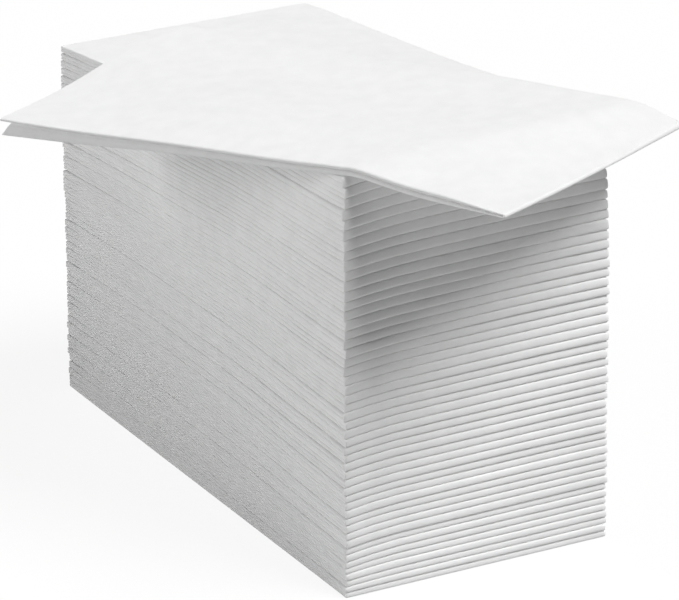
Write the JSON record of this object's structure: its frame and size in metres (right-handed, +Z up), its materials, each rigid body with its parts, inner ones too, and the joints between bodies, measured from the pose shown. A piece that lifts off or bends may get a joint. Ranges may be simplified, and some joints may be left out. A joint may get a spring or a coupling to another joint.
{
  "type": "stack of paper guest towels",
  "caption": "Pack of white folded paper guest towels standing in one neat stack, with the last towel laid askew on top and its corners hanging over.",
  "frame": {"origin": "middle of the footprint of the straight stack, on the surface that it stands on", "axes": "+Z up, +X along the towels towards their bends, Y across the towels; the long side of the stack that the picture shows faces -Y and the bends face +X"},
  "size_m": [0.2748, 0.1797, 0.1604],
  "materials": {
    "towel_paper": "matte soft airlaid paper with a fine fibre texture"
  },
  "bodies": {
    "root": {"towel_01": "towel_paper", "towel_02": "towel_paper", "towel_03": "towel_paper", "towel_04": "towel_paper", "towel_05": "towel_paper", "towel_06": "towel_paper", "towel_07": "towel_paper", "towel_08": "towel_paper", "towel_09": "towel_paper", "towel_10": "towel_paper", "towel_11": "towel_paper", "towel_12": "towel_paper", "towel_13": "towel_paper", "towel_14": "towel_paper", "towel_15": "towel_paper", "towel_16": "towel_paper", "towel_17": "towel_paper", "towel_18": "towel_paper", "towel_19": "towel_paper", "towel_20": "towel_paper", "towel_21": "towel_paper", "towel_22": "towel_paper", "towel_23": "towel_paper", "towel_24": "towel_paper", "towel_25": "towel_paper", "towel_26": "towel_paper", "towel_27": "towel_paper", "towel_28": "towel_paper", "towel_29": "towel_paper", "towel_30": "towel_paper", "towel_31": "towel_paper", "towel_32": "towel_paper", "towel_33": "towel_paper", "towel_34": "towel_paper", "towel_35": "towel_paper", "towel_36": "towel_paper", "towel_37": "towel_paper", "towel_38": "towel_paper", "towel_39": "towel_paper", "towel_40": "towel_paper", "towel_41": "towel_paper", "towel_42": "towel_paper", "towel_43": "towel_paper", "towel_44": "towel_paper", "towel_45": "towel_paper", "towel_46": "towel_paper", "towel_47": "towel_paper", "towel_48": "towel_paper", "towel_49": "towel_paper", "top_towel": "towel_paper"}
  },
  "joints": []
}
